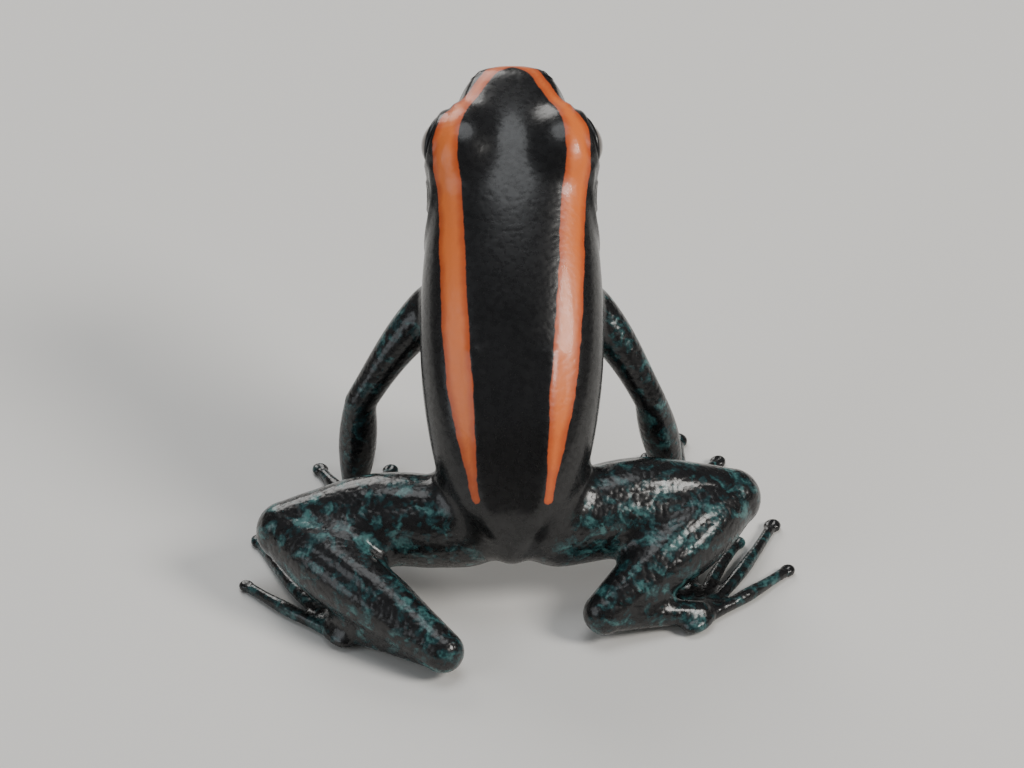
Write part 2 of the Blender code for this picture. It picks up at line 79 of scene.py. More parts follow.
MM = 0.001
BODY = "root"
SIDES = ("left", "right")
FLESH = ("head", "torso") + tuple(
    f"{limb}_{side}"
    for side in SIDES
    for limb in ("upper_arm", "forearm", "hand", "thigh", "shank", "foot")
)

# The frog's build, as the solids have it, in millimetres.
SNOUT_VENT = 26.0
VENT_BACK = 9.5
VENT_UP = 3.2
PITCH_AT = (0.0, 0.15, 0.30, 0.50, 0.64, 0.74, 0.84, 1.0)
PITCH = (60.0, 55.0, 49.0, 43.0, 39.0, 32.0, 26.0, 24.0)
# Sections of the body in shares of its length: where, half width, height above and depth below.
SECTIONS = (
    (0.00, 0.078, 0.062, 0.058),
    (0.06, 0.102, 0.078, 0.074),
    (0.14, 0.134, 0.099, 0.100),
    (0.25, 0.162, 0.122, 0.138),
    (0.38, 0.178, 0.128, 0.158),
    (0.50, 0.179, 0.128, 0.152),
    (0.60, 0.173, 0.124, 0.130),
    (0.68, 0.166, 0.120, 0.104),
    (0.74, 0.164, 0.119, 0.086),
    (0.82, 0.152, 0.117, 0.070),
    (0.90, 0.120, 0.103, 0.056),
    (0.96, 0.092, 0.088, 0.046),
    (1.00, 0.076, 0.078, 0.038),
)
SQUARE_ABOVE = 2.3
SQUARE_HEAD = 2.9
SQUARE_BELOW = 2.15
RUMP_ROUND = 0.115 * SNOUT_VENT
SNOUT_ROUND = 0.075 * SNOUT_VENT
SNOUT_LEAN = 0.22
END_MARGIN = 0.3

EYE_AT = 0.808
EYE_OUT = 0.116 * SNOUT_VENT
EYE_ABOVE = 0.061 * SNOUT_VENT
EYE_AIM = (0.90, -0.34, 0.12)
EYE_BALL = 1.55
LIDS = 1.99
LIDS_INSIDE = 0.52
LIDS_LENGTH = 1.17
LIDS_BLEND = 1.0
OPENING = (0.90, 0.76)  # half length and half height of the open eye, in radii of the ball
OPENING_POWER = 1.75  # under 2, so that its corners are a little pointed

EAR_RADIUS = 0.027 * SNOUT_VENT
MOUTH_FROM = 0.745
MOUTH_DROP = 9.0
# Places and soft ridges on the left side: share of the length, degrees above the widest line.
EAR = (0.724, 7.0)
NOSTRIL = (0.955, 46.0)
HOLLOW_BEFORE_EYE = (0.895, 27.0)
EAR_FOLD = ((0.765, 33.0), (0.735, 27.0), (0.70, 20.0), (0.66, 8.0), (0.63, -6.0))
CANTHUS = ((0.86, 46.0), (0.90, 47.0), (0.94, 49.0), (0.965, 54.0))
PELVIS = ((0.06, 72.0), (0.14, 70.0), (0.24, 69.0), (0.34, 68.0), (0.39, 68.0))
# What stands out round a line or place: height, distance from it, and width.
LIPS = ((0.035, 0.30, 0.15), (-0.17, 0.0, 0.09))
AROUND = (
    (NOSTRIL, ((0.05, 0.28, 0.10), (-0.28, 0.0, 0.14))),
    (EAR, ((0.08, EAR_RADIUS, 0.12),)),
    (EAR_FOLD, ((0.10, 0.0, 0.26),)),
    (HOLLOW_BEFORE_EYE, ((-0.16, 0.0, 0.75),)),
    (CANTHUS, ((0.09, 0.0, 0.40),)),
    (PELVIS, ((0.14, 0.0, 0.55),)),
)
EAR_SINK = 0.06  # of the ear drum, inside its ring
LID_FOLD = ((0.05, 1.18, 0.10), (-0.06, 1.42, 0.09))  # with the size of the opening for distance

JOINTS = {
    "left": {
        "shoulder": (2.5, -1.6, 13.1),
        "elbow": (7.8, 0.6, 7.0),
        "wrist": (8.2, 1.4, 0.95),
        "hip": (2.3, 7.5, 4.2),
        "knee": (11.5, 7.2, 3.6),
        "heel": (3.5, 14.5, 1.4),
        "sole": (8.8, 11.4, 0.62),
    },
    "right": {
        "shoulder": (-2.5, -1.6, 13.1),
        "elbow": (-7.1, 0.7, 7.2),
        "wrist": (-8.5, 0.5, 0.95),
        "hip": (-2.3, 7.5, 4.2),
        "knee": (-11.2, 4.9, 4.0),
        "heel": (-4.7, 11.4, 1.5),
        "sole": (-9.5, 10.2, 0.62),
    },
}
HAND_HEADING = {"left": -14.0, "right": -8.0}
FOOT_HEADING = {"left": 24.0, "right": 22.0}
UPPER_ARM = ((0.0, 1.35), (0.3, 1.24), (0.6, 1.00), (0.85, 0.84), (1.0, 0.80))
FOREARM = ((0.0, 0.80), (0.3, 0.98), (0.6, 0.86), (0.85, 0.62), (1.0, 0.58))
WRIST = ((0.0, 0.60), (0.5, 0.55), (1.0, 0.46))
THIGH = ((0.0, 2.25), (0.3, 2.45), (0.6, 2.28), (0.85, 1.80), (1.0, 1.55))
SHANK = ((0.0, 1.50), (0.25, 1.90), (0.5, 1.84), (0.8, 1.38), (1.0, 1.10))
TARSUS = ((0.0, 1.00), (0.3, 0.86), (0.7, 0.70), (1.0, 0.64))
KNEE_HOLLOW = 2.3  # from the knee to where thigh and shank part, along both limbs' directions
ARM_BOW = 0.35
THIGH_BOW = 0.35
SHANK_BOW = 0.25
# Each digit: degrees outwards from the heading of its hand or foot, length, disc half width.
FINGERS = ((-46.0, 3.9, 0.42), (-14.0, 3.7, 0.42), (14.0, 5.2, 0.50), (46.0, 3.8, 0.42))
TOES = (
    (-44.0, 3.9, 0.34),
    (-24.0, 5.3, 0.38),
    (-7.0, 7.2, 0.42),
    (7.0, 9.3, 0.44),
    (27.0, 6.4, 0.38),
)
PALM = (1.15, 0.95, 0.52)
SOLE = (1.45, 0.85, 0.50)
DIGIT = (0.40, 0.33, 0.29)
DISC_LENGTH = 1.15
DISC_HEIGHT = 0.27
DIGIT_SINK = 0.06
DIGIT_CURL = 7.0

# Where the stripes run: share of the length from the vent, and distance from the midline.
STRIPE = (
    (0.13, 1.82),
    (0.20, 2.12),
    (0.34, 2.62),
    (0.50, 2.98),
    (0.64, 3.12),
    (0.74, 3.22),
    (0.81, 2.92),
    (0.87, 2.38),
    (0.93, 1.50),
    (0.962, 0.86),
    (0.980, 0.0),
)
# The pale line from the upper lip to the arm: share of the length, degrees above the widest line.
PALE_LINE = (
    (0.985, 12.0),
    (0.93, 8.5),
    (0.86, 5.0),
    (0.79, 1.0),
    (0.73, -5.0),
    (0.67, -15.0),
    (0.62, -27.0),
    (0.585, -38.0),
)

# Depths and widths of the furrows between muscles, and where they run, as shares of the way
# round the limb.
THIGH_FURROW = (0.15, 0.50)
SHANK_FURROW = (0.13, 0.40)
MUSCLES_THIGH = {"left": (0.36, 0.16), "right": (0.14, 0.34)}
MUSCLES_SHANK = {"left": (0.36, 0.14), "right": (0.14, 0.36)}

# How the skin is worked: steps that even it out without shrinking it, hollows that are left as
# they are, and the rounds of softening in filled creases and where limbs leave the body.
EVEN_STEPS = (0.60, -0.62)
HOLLOW_KEPT = 0.0012
CREASE_ROUNDS = 16
ROOT_ROUNDS = 90
# The limbs' roots and the hollows of the knees are softened within these distances.
SOFT_SHOULDER = 2.7
SOFT_HIP = 3.2
SOFT_KNEE = 3.4
DIGIT_REACH = 0.62  # the skin is refined this near the middle line of a digit
UNDER_BALL = 0.86 * EYE_BALL  # the skin before an open eye is drawn back to this radius
IRIS_RADIUS = 0.86 * EYE_BALL
IRIS_LONG = 1.12  # the iris and pupil are this much longer than high
CORNEA = 0.055  # how much the front of the ball swells, as a share of its radius
RIM_OVER_BALL = 0.05
GRANULE_HEIGHT = 0.06
PART_OF_POINTS = 8192  # points placed at a time

PHOTO_FOCUS = 769.0  # focal length of the photograph in its own pixels
PHOTO_WINDOW = 96.0  # width of the stretch of the photograph that the camera shows, in pixels
MM_PER_PIXEL = 0.55  # at the frog
AIM_DEPTH = 0.35  # how far forward the camera aims, as a share of the way to the tip of the snout
SENSOR = 36.0
SNOUT_OVER_MIDDLE = 29.7  # pixels from the middle of that stretch up to the tip of the snout


def a_length(name, default, description, least=0.0):
    """A length as a property, from numbers in millimetres."""
    return FloatProperty(
        name=name, description=description, default=default * MM, min=least * MM, unit="LENGTH"
    )


def a_count(name, default, description):
    return IntProperty(name=name, description=description, default=default, min=0)


def a_colour(name, default, description):
    return FloatVectorProperty(
        name=name,
        description=description,
        default=default,
        size=3,
        subtype="COLOR",
        min=0.0,
        max=1.0,
    )


class FrogSizes(PropertyGroup):
    """Sizes of the surface that a user may change."""

    fineness: a_length("Fineness", 0.19, "Edge of the skin's faces on trunk and limbs", least=0.185)
    stripe_width: a_length("Stripe width", 1.5, "Width of the stripes at the middle of the back")
    pale_width: a_length("Lip line width", 0.44, "Width of the pale line from the lip to the arm")
    granule: a_length("Granule", 0.24, "Distance between the granules of the skin")
    lid_rim: a_length("Lid rim", 0.13, "Half thickness of the rims of the lids")
    smoothing: a_count("Smoothing", 6, "How often the fused skin is evened out")
    filling: a_count("Filling", 40, "How often creases between limbs, body and digits are filled")


class FrogColours(PropertyGroup):
    """Colours of the skin and the eyes."""

    back: a_colour("Back", (0.0060, 0.0058, 0.0062), "Ground colour of the whole skin")
    stripe: a_colour("Stripe", (0.80, 0.185, 0.035), "Middle of the stripes")
    stripe_edge: a_colour("Stripe edge", (0.52, 0.085, 0.015), "Edges of the stripes")
    mottle: a_colour("Mottle", (0.008, 0.032, 0.036), "Dark parts of the blue-green mottling")
    mottle_light: a_colour("Light mottle", (0.055, 0.150, 0.148), "Light parts of the mottling")
    pale: a_colour("Lip line", (0.55, 0.68, 0.60), "Pale line from the lip to the arm")
    iris: a_colour("Iris", (0.030, 0.015, 0.007), "Dark bronze of the iris")


# Each light: name, place and width in metres, power as a share of the key light's, and colour.
LIGHTS = (
    ("key", (-0.25, 0.11, 0.22), 0.12, 1.0, (1.0, 0.97, 0.92)),
    ("fill", (0.26, 0.14, 0.15), 0.22, 0.28, (0.90, 0.95, 1.0)),
    ("front", (0.10, -0.27, 0.18), 0.20, 0.60, (1.0, 0.98, 0.95)),
    ("top", (0.0, -0.03, 0.36), 0.24, 0.50, (0.95, 0.98, 1.0)),
)


class FrogStage(PropertyGroup):
    """The floor, the light and the camera."""

    elevation: FloatProperty(
        name="Elevation",
        description="How steeply the camera looks down",
        default=math.radians(35.0),
        subtype="ANGLE",
    )
    floor: a_colour("Floor", (0.80, 0.78, 0.75), "Pale floor")
    key: FloatProperty(name="Key light", description="Power of the key light in W", default=0.8)


def unit(vector):
    vector = np.asarray(vector, float)
    return vector / np.linalg.norm(vector)


def smooth_through(knots, values, at):
    """The natural cubic spline through (knots, values), read at the places in at."""
    knots, values = np.asarray(knots, float), np.asarray(values, float)
    values = values.reshape(len(knots), -1)
    steps, rises = np.diff(knots), np.diff(values, axis=0)
    system, right = np.eye(len(knots)), np.zeros_like(values)
    for i in range(1, len(knots) - 1):
        system[i, i - 1 : i + 2] = steps[i - 1], 2 * (steps[i - 1] + steps[i]), steps[i]
        right[i] = 6 * (rises[i] / steps[i] - rises[i - 1] / steps[i - 1])
    bends = np.linalg.solve(system, right)
    at = np.clip(np.asarray(at, float), knots[0], knots[-1])
    i = np.clip(np.searchsorted(knots, at) - 1, 0, len(knots) - 2)
    step = steps[i][:, None]
    after, before = (at - knots[i])[:, None], (knots[i + 1] - at)[:, None]
    return (
        (bends[i] * before**3 + bends[i + 1] * after**3) / (6 * step)
        + (values[i] / step - bends[i] * step / 6) * before
        + (values[i + 1] / step - bends[i + 1] * step / 6) * after
    )


def evenly_through(knots, count):
    """Both coordinates along a smooth line that reaches the knots at even steps."""
    at = np.linspace(0, 1, len(knots))
    return smooth_through(at, np.array(knots, float), np.linspace(0, 1, count)).T


def rise(value, low, high):
    """Goes from 0 at low to 1 at high along a smooth S."""
    share = np.clip((value - low) / (high - low), 0.0, 1.0)
    return share * share * (3 - 2 * share)


def spine(along):
    """Points (y, z) of the body's axis at distances along it from the vent, and its pitch there.

    The axis is the integral of its own slope, and runs on straight past both ends.
    """
    fine = np.linspace(0.0, 1.0, 401)
    pitch = np.radians(smooth_through(PITCH_AT, PITCH, fine)[:, 0])
    middle = (pitch[1:] + pitch[:-1]) / 2
    step = SNOUT_VENT / (len(fine) - 1)
    ahead = np.concatenate([[0.0], np.cumsum(np.cos(middle) * step)])
    up = np.concatenate([[0.0], np.cumsum(np.sin(middle) * step)])
    inside = np.clip(along, 0.0, SNOUT_VENT)
    past = along - inside
    here = np.interp(inside / SNOUT_VENT, fine, pitch)
    y = VENT_BACK - np.interp(inside / SNOUT_VENT, fine, ahead) - past * np.cos(here)
    z = VENT_UP + np.interp(inside / SNOUT_VENT, fine, up) + past * np.sin(here)
    return y, z, here


def closing(distance, length, power):
    """Rises from 0 at an end of the body to 1 at this length from it, as a rounded nose does."""
    share = np.clip(distance / length, 0.0, 1.0)
    return (1.0 - (1.0 - share) ** power) ** (1.0 / power)


def section(along):
    """Half width, height above and depth below the axis, and the exponent above, at each place."""
    table = np.array(SECTIONS)
    sizes = smooth_through(table[:, 0], table[:, 1:] * SNOUT_VENT, along / SNOUT_VENT)
    closed = closing(along, RUMP_ROUND, 2.0) * closing(SNOUT_VENT - along, SNOUT_ROUND, 2.4)
    square = SQUARE_ABOVE + (SQUARE_HEAD - SQUARE_ABOVE) * rise(along / SNOUT_VENT, 0.62, 0.80)
    return *(sizes[:, i] * closed for i in range(3)), square


def body_surface(along, angle):
    """Points of the body's skin before the lids swell it.

    Each section is a superellipse across the axis with its own height and depth, at an angle
    from the left side (0 degrees) over the back (90) to the right side (180).
    """
    along, angle = np.broadcast_arrays(np.asarray(along, float), np.radians(angle))
    flat = along.ravel()
    half, above, below, square = section(flat)
    cosine, sine = np.cos(angle).ravel(), np.sin(angle).ravel()
    power = 2.0 / np.where(sine >= 0, square, SQUARE_BELOW)
    across = half * np.sign(cosine) * np.abs(cosine) ** power
    height = np.where(sine >= 0, above, below) * np.sign(sine) * np.abs(sine) ** power
    lean = SNOUT_LEAN * np.clip(1 - (SNOUT_VENT - flat) / (0.22 * SNOUT_VENT), 0, 1) ** 2
    y, z, pitch = spine(flat)
    forward = height * lean
    points = np.stack(
        [
            across,
            y - forward * np.cos(pitch) + height * np.sin(pitch),
            z + forward * np.sin(pitch) + height * np.cos(pitch),
        ],
        axis=-1,
    )
    return points.reshape(*along.shape, 3)


def body_place(points):
    """Where points lie on the body: distance along the axis, across it and over it."""
    at = np.linspace(0.0, SNOUT_VENT, 521)
    y, z, pitch = spine(at)
    nearest = np.empty(len(points), int)
    for start in range(0, len(points), PART_OF_POINTS):
        part = slice(start, start + PART_OF_POINTS)
        far = (points[part, 1, None] - y) ** 2 + (points[part, 2, None] - z) ** 2
        nearest[part] = far.argmin(axis=1)
    dy, dz = points[:, 1] - y[nearest], points[:, 2] - z[nearest]
    turn = pitch[nearest]
    past = -dy * np.cos(turn) + dz * np.sin(turn)
    return at[nearest] + past, points[:, 0], dy * np.sin(turn) + dz * np.cos(turn)


def inner_section(along):
    """The section at each place, or else a little inside the nearer end of the body."""
    return section(np.clip(along, END_MARGIN, SNOUT_VENT - END_MARGIN))


def over_body(along, across, height):
    """How far points lie outside the body's sections, measured straight from the axis."""
    half, above, below, square = inner_section(along)
    power = np.where(height >= 0, square, SQUARE_BELOW)
    tall = np.where(height >= 0, above, below)
    size = (np.abs(across / half) ** power + np.abs(height / tall) ** power) ** (1 / power)
    return np.hypot(across, height) * (1 - 1 / np.maximum(size, 1e-3))


def eye_place(side):
    """Middle of an eye, where it looks, and the head's upward direction. side is 1 or -1."""
    y, z, pitch = (float(v[0]) for v in spine(np.array([EYE_AT * SNOUT_VENT])))
    up = np.array([0, math.sin(pitch), math.cos(pitch)])
    centre = np.array([side * EYE_OUT, y, z]) + up * EYE_ABOVE
    return centre, unit(np.array(EYE_AIM) * (side, 1, 1)), up


def eye_axes(side):
    """The eye's own axes: where it looks, along its opening, and over it."""
    centre, aim, up = eye_place(side)
    long_way = unit(np.cross(aim, up))
    return centre, aim, long_way, np.cross(long_way, aim)


def before_eye(points, side):
    """The way from an eye's middle to each point, and how that lies to the eye.

    That is how far before it, how far over it, and the size of the opening that the point is on
    the rim of: 1 for the open eye itself, and less inside it.
    """
    centre, aim, long_way, over = eye_axes(side)
    spoke = points - centre
    above = spoke @ over
    wide = np.abs(spoke @ long_way) / (OPENING[0] * EYE_BALL)
    high = np.abs(above) / (OPENING[1] * EYE_BALL)
    return spoke, spoke @ aim, above, np.sqrt(wide**2 + high**OPENING_POWER)


def with_lids(points):
    """Swells the head's skin round both eyes, where the lids are.

    Each point closer to the eye than the lids' radius moves out to it, along the line from the
    middle of the eye, and a rounded blend joins the bulge to the skin around it.
    """
    for side in (1, -1):
        centre, aim, up = eye_place(side)
        ahead = unit(np.cross((1, 0, 0), up))
        spoke = points - (centre - aim * LIDS_INSIDE)
        reach = spoke - ahead * (spoke @ ahead)[..., None] * (1 - 1 / LIDS_LENGTH)
        far = np.linalg.norm(reach, axis=-1)
        near = np.clip(1 - np.abs(far - LIDS) / LIDS_BLEND, 0, 1)
        wanted = np.maximum(far, LIDS) + near**2 * LIDS_BLEND / 4
        points = points + spoke * (wanted / far - 1)[..., None]
    return points


def whole_turn(count):
    """Angles all the way round, laid out to meet rows of points in space."""
    return np.linspace(0, 2 * math.pi, count, endpoint=False)[None, :, None]


def lengths(vectors):
    """The length of each row, as a column."""
    return np.linalg.norm(vectors, axis=1)[:, None]


def tube(points, radii, rings=110, around=120, hint=(0, 0, 1)):
    """Rings of a rounded tube carried along a smooth curve through the points.

    The radius is the spline through (share of the length, radius), each end closes as a half
    ball, and hint is the way the height of its section points.
    """
    points = np.asarray(points, float)
    chord = np.concatenate([[0], np.cumsum(np.linalg.norm(np.diff(points, axis=0), axis=1))])
    length = chord[-1]
    first, last = radii[0][1], radii[-1][1]
    turn = np.linspace(0, math.pi / 2, around // 4)[:-1]
    at = np.concatenate(
        [-first * np.cos(turn), np.linspace(0, length, rings), length + last * np.cos(turn[::-1])]
    )
    inside = np.clip(at, 0, length)
    step = length * 0.01
    ahead = smooth_through(chord, points, np.clip(inside + step, 0, length))
    tangent = ahead - smooth_through(chord, points, np.clip(inside - step, 0, length))
    tangent /= lengths(tangent)
    past = at - inside
    centre = smooth_through(chord, points, inside) + tangent * past[:, None]
    stations = np.array(radii, float)
    radius = smooth_through(stations[:, 0], stations[:, 1], inside / length)[:, 0]
    end = np.where(past < 0, first, last)
    radius = radius * np.sqrt(np.clip(1 - (past / end) ** 2, 0, 1))
    side = np.cross(tangent, np.asarray(hint, float))
    side /= lengths(side)
    over = np.cross(side, tangent)
    turn = whole_turn(around)
    ring = np.cos(turn) * side[:, None] + np.sin(turn) * over[:, None]
    return centre[:, None] + radius[:, None, None] * ring


def ball(centre, ahead, sizes, up=(0, 0, 1), rings=60, around=90):
    """Rings of an ellipsoid: half length along ahead, half width and half height."""
    ahead = unit(ahead)
    side = unit(np.cross(ahead, up))
    over = np.cross(side, ahead)
    length, wide, high = sizes
    fall = np.linspace(-math.pi / 2, math.pi / 2, rings)[:, None, None]
    turn = whole_turn(around)
    ring = np.cos(turn) * side * wide + np.sin(turn) * over * high
    return np.asarray(centre, float) + np.sin(fall) * ahead * length + np.cos(fall) * ring


def closed_faces(rings, around):
    """Faces over a stack of rings whose first and last one are a point each, numbered last."""
    i, j = np.meshgrid(np.arange(rings - 1), np.arange(around), indexing="ij")
    k = (j + 1) % around
    row, after = i * around, (i + 1) * around
    quads = np.stack([row + j, row + k, after + k, after + j], -1)
    j = np.arange(around)
    k = (j + 1) % around
    low, high = rings * around, rings * around + 1
    top = (rings - 1) * around
    fans = np.concatenate(
        [
            np.stack([np.full(around, low), k, j], -1),
            np.stack([np.full(around, high), top + j, top + k], -1),
        ]
    )
    return quads.reshape(-1, 4), fans


def faces_inwards(points, quads, inner):
    """Whether the faces turn their backs on the outside, as seen from the points in inner."""
    corners = points[quads[:, :3]]
    normal = np.cross(corners[:, 1] - corners[:, 0], corners[:, 2] - corners[:, 0])
    return ((corners[:, 0] - inner) * normal).sum() < 0


def closed_surface(rings):
    """Points and faces of a closed surface over the rings, whose ends shrink to points."""
    inner = rings[1:-1]
    count, around = inner.shape[:2]
    points = np.concatenate([inner.reshape(-1, 3), rings[:1].mean(axis=1), rings[-1:].mean(axis=1)])
    quads, fans = closed_faces(count, around)
    if faces_inwards(points, quads, points.mean(axis=0)):
        quads, fans = quads[:, ::-1], fans[:, ::-1]
    return points, quads, fans


def new_object(name, points, faces):
    """A smooth-shaded mesh object from points in millimetres and a list of face arrays."""
    mesh = bpy.data.meshes.new(name)
    mesh.from_pydata(points * MM, [], [face for group in faces for face in group.tolist()])
    mesh.validate()
    mesh.shade_smooth()
    made = bpy.data.objects.new(name, mesh)
    bpy.context.scene.collection.objects.link(made)
    return made


def heading_vector(degrees, side):
    """A level direction turned outwards from straight ahead by this angle."""
    turn = math.radians(degrees)
    out = 1 if side == "left" else -1
    return np.array([out * math.sin(turn), -math.cos(turn), 0.0])


def bowed(start, end, bow):
    """Three points from start to end, the middle one pushed aside by bow."""
    start, end = np.asarray(start, float), np.asarray(end, float)
    return [start, (start + end) / 2 + np.asarray(bow, float), end]


def digit(root, degrees, length, disc, side, fan):
    """A finger or toe that leaves its root, curves back towards the heading and ends in a disc.

    It gives the middle line, the radii along it, and the middle and the direction of the disc.
    """
    ahead = heading_vector(degrees, side)
    bent = heading_vector(degrees - math.copysign(DIGIT_CURL, fan), side)
    base, middle, neck = DIGIT
    root = np.array([root[0], root[1], base - DIGIT_SINK])
    knuckle = root + ahead * length * 0.5
    knuckle[2] = middle - DIGIT_SINK + 0.10
    tip = knuckle + bent * (length * 0.5 - disc * DISC_LENGTH)
    tip[2] = neck - DIGIT_SINK
    radii = (
        (0.0, base),
        (0.28, middle * 0.95),
        (0.5, middle * 1.08),
        (0.75, neck),
        (1.0, neck * 0.95),
    )
    pad = tip + bent * disc * 0.55
    pad[2] = DISC_HEIGHT - DIGIT_SINK
    return [root, knuckle, tip], radii, pad, bent


def fan_of_digits(table, root, heading, side):
    """All digits of a hand or foot, their roots spread a little across it."""
    for fan, length, disc in table:
        across = heading_vector(heading + 90, side) * math.sin(math.radians(fan)) * 0.55
        yield *digit(root + across, heading + fan, length, disc, side, fan), disc


def digit_rings(fan):
    """The tubes and discs of a fan of digits."""
    pieces = []
    for route, radii, middle, bent, disc in fan:
        sizes = (disc * DISC_LENGTH, disc, DISC_HEIGHT)
        pieces += [tube(route, radii, 60, 60), ball(middle, bent, sizes, rings=36, around=60)]
    return pieces


def palm_centre(side, at):
    x, y, _ = at["wrist"]
    ahead = heading_vector(HAND_HEADING[side], side) * PALM[0]
    return np.array([x, y, PALM[2] - DIGIT_SINK]) + ahead


def fans(side):
    """The fingers and toes of one side."""
    at = JOINTS[side]
    yield from fan_of_digits(FINGERS, palm_centre(side, at), HAND_HEADING[side], side)
    yield from fan_of_digits(TOES, np.array(at["sole"]), FOOT_HEADING[side], side)


def thigh(at):
    return tube(bowed(at["hip"], at["knee"], (0, -THIGH_BOW, THIGH_BOW)), THIGH)


def shank(at):
    return tube(bowed(at["knee"], at["heel"], (0, SHANK_BOW, SHANK_BOW)), SHANK)


def arm(side, at):
    """Upper arm, elbow, forearm, wrist and palm."""
    palm = palm_centre(side, at)
    bow = (math.copysign(ARM_BOW, palm[0]), ARM_BOW / 2, ARM_BOW)
    return [
        tube(bowed(at["shoulder"], at["elbow"], bow), UPPER_ARM, hint=(0, 1, 0)),
        tube(bowed(at["elbow"], at["wrist"], (0, -0.15, 0)), FOREARM, hint=(0, 1, 0)),
        tube(bowed(at["wrist"], palm, (0, 0, 0.1)), WRIST),
        ball(palm, heading_vector(HAND_HEADING[side], side), PALM),
    ]


def leg(side, at):
    """Thigh, knee, shank, heel and foot."""
    heading = FOOT_HEADING[side]
    heel, sole = np.array(at["heel"]), np.array(at["sole"])
    return [
        thigh(at),
        shank(at),
        tube(bowed(heel, sole, (0, 0, 0.05)), TARSUS),
        ball(sole - (0, 0, 0.16), heading_vector(heading, side), SOLE),
    ]


def body_rings():
    """Fine rings over the whole body with its lids, closer together at both ends."""
    turn = np.linspace(0, math.pi, 240)
    along = (0.7 * (1 - np.cos(turn)) / 2 + 0.3 * turn / math.pi) * SNOUT_VENT
    angle = np.linspace(0.0, 360.0, 200, endpoint=False)
    return with_lids(body_surface(along[:, None], angle[None, :]))


def distance_to_line(points, line):
    """Distance from each point to a line of points, and the share of the line's length there."""
    start, step = line[:-1], np.diff(line, axis=0)
    size = (step**2).sum(axis=1)
    length = np.sqrt(size)
    before = np.concatenate([[0], np.cumsum(length)])
    best, share = np.full(len(points), np.inf), np.zeros(len(points))
    for i in range(len(step)):
        along = np.clip((points - start[i]) @ step[i] / size[i], 0, 1)
        far = np.linalg.norm(points - start[i] - along[:, None] * step[i], axis=1)
        closer = far < best
        best = np.where(closer, far, best)
        share = np.where(closer, (before[i] + along * length[i]) / before[-1], share)
    return best, share


def angle_over(along, across):
    """The angle of a section at which the back is this far from the midline."""
    half, _, _, square = section(along)
    return np.degrees(np.arccos(np.clip(across / half, 0, 1) ** (square / 2)))


def with_mirrored(left):
    """A line on the left side that runs up to the midline, and on along its mirror image."""
    return np.concatenate([left, (left * (-1, 1, 1))[-2::-1]])


def stripe_line():
    """The middle of the stripes: one line from the left of the rump round the snout and back."""
    along, across = evenly_through(STRIPE, 140)
    along = np.clip(along, 0, STRIPE[-1][0]) * SNOUT_VENT
    angle = angle_over(along, np.maximum(across, 0))
    return with_mirrored(with_lids(body_surface(along, angle)))


def mouth_line():
    """The line of the mouth, from corner to corner round the front of the snout."""
    share = np.linspace(0, 1, 80)
    along = (MOUTH_FROM + (1 - MOUTH_FROM) * np.sin(share * math.pi / 2)) * SNOUT_VENT
    return with_mirrored(with_lids(body_surface(along, -MOUTH_DROP * (1 - share) ** 2)))


def neighbours(mesh):
    """The mesh's edges as pairs of point numbers, and how many edges each point has."""
    edges = np.empty(len(mesh.edges) * 2, np.int32)
    mesh.edges.foreach_get("vertices", edges)
    edges = edges.reshape(-1, 2)
    return edges, np.bincount(edges.ravel(), minlength=len(mesh.vertices)).astype(float)


def pull_even(points, edges, count, strength):
    """Moves each point towards the middle of its neighbours by strength, a number or one each."""
    total = np.zeros_like(points)
    for axis in range(3):
        for a, b in ((0, 1), (1, 0)):
            total[:, axis] += np.bincount(edges[:, a], points[edges[:, b], axis], len(points))
    return points + (total / count[:, None] - points) * np.reshape(strength, (-1, 1))


def read_rows(items, name):
    """A vector property of all items of a mesh, one row each."""
    flat = np.empty(len(items) * 3)
    items.foreach_get(name, flat)
    return flat.reshape(-1, 3)


def read_points(mesh):
    return read_rows(mesh.vertices, "co")


def read_normals(mesh):
    return read_rows(mesh.vertex_normals, "vector")


def write_points(mesh, points):
    mesh.vertices.foreach_set("co", points.ravel())
    mesh.update()


def write_attribute(mesh, name, values):
    mesh.attributes.new(name, "FLOAT", "POINT").data.foreach_set("value", values.astype(np.float32))


def bump(distance, middle, width):
    """A soft ridge of height 1 at this distance from a line or point."""
    return np.exp(-(((distance - middle) / width) ** 2))


def with_modifier(made, kind, **settings):
    """Leaves the object with the mesh that one modifier makes of it."""
    modifier = made.modifiers.new(kind.lower(), kind)
    for name, value in settings.items():
        setattr(modifier, name, value)
    graph = bpy.context.evaluated_depsgraph_get()
    mesh = bpy.data.meshes.new_from_object(made.evaluated_get(graph))
    made.modifiers.clear()
    made.data = mesh


def all_flesh():
    """All pieces of flesh as one object, in millimetres, still running through each other."""
    pieces = [body_rings()]
    for side in SIDES:
        pieces += arm(side, JOINTS[side]) + leg(side, JOINTS[side]) + digit_rings(fans(side))
    points, faces, first = [], [], 0
    for rings in pieces:
        some, quads, ends = closed_surface(rings)
        points.append(some)
        faces += [quads + first, ends + first]
        first += len(some)
    return new_object("flesh", np.concatenate(points) / MM, faces)


def fill_creases(mesh, times):
    """Rounds every crease: hollow places move out to the middle of their neighbours.

    What has moved is then evened out, as far as it has moved.
    """
    edges, count = neighbours(mesh)
    moved = np.zeros(len(mesh.vertices))
    for _ in range(times):
        points, normals = read_points(mesh), read_normals(mesh)
        hollow = ((pull_even(points, edges, count, 1.0) - points) * normals).sum(axis=1)
        step = np.clip(hollow - HOLLOW_KEPT, 0, None) * 0.9
        moved += step
        write_points(mesh, points + normals * step[:, None])
    points, soft = read_points(mesh), rise(moved, 0.004, 0.04) * 0.6
    for _ in range(CREASE_ROUNDS):
        points = pull_even(points, edges, count, soft)
    write_points(mesh, points)


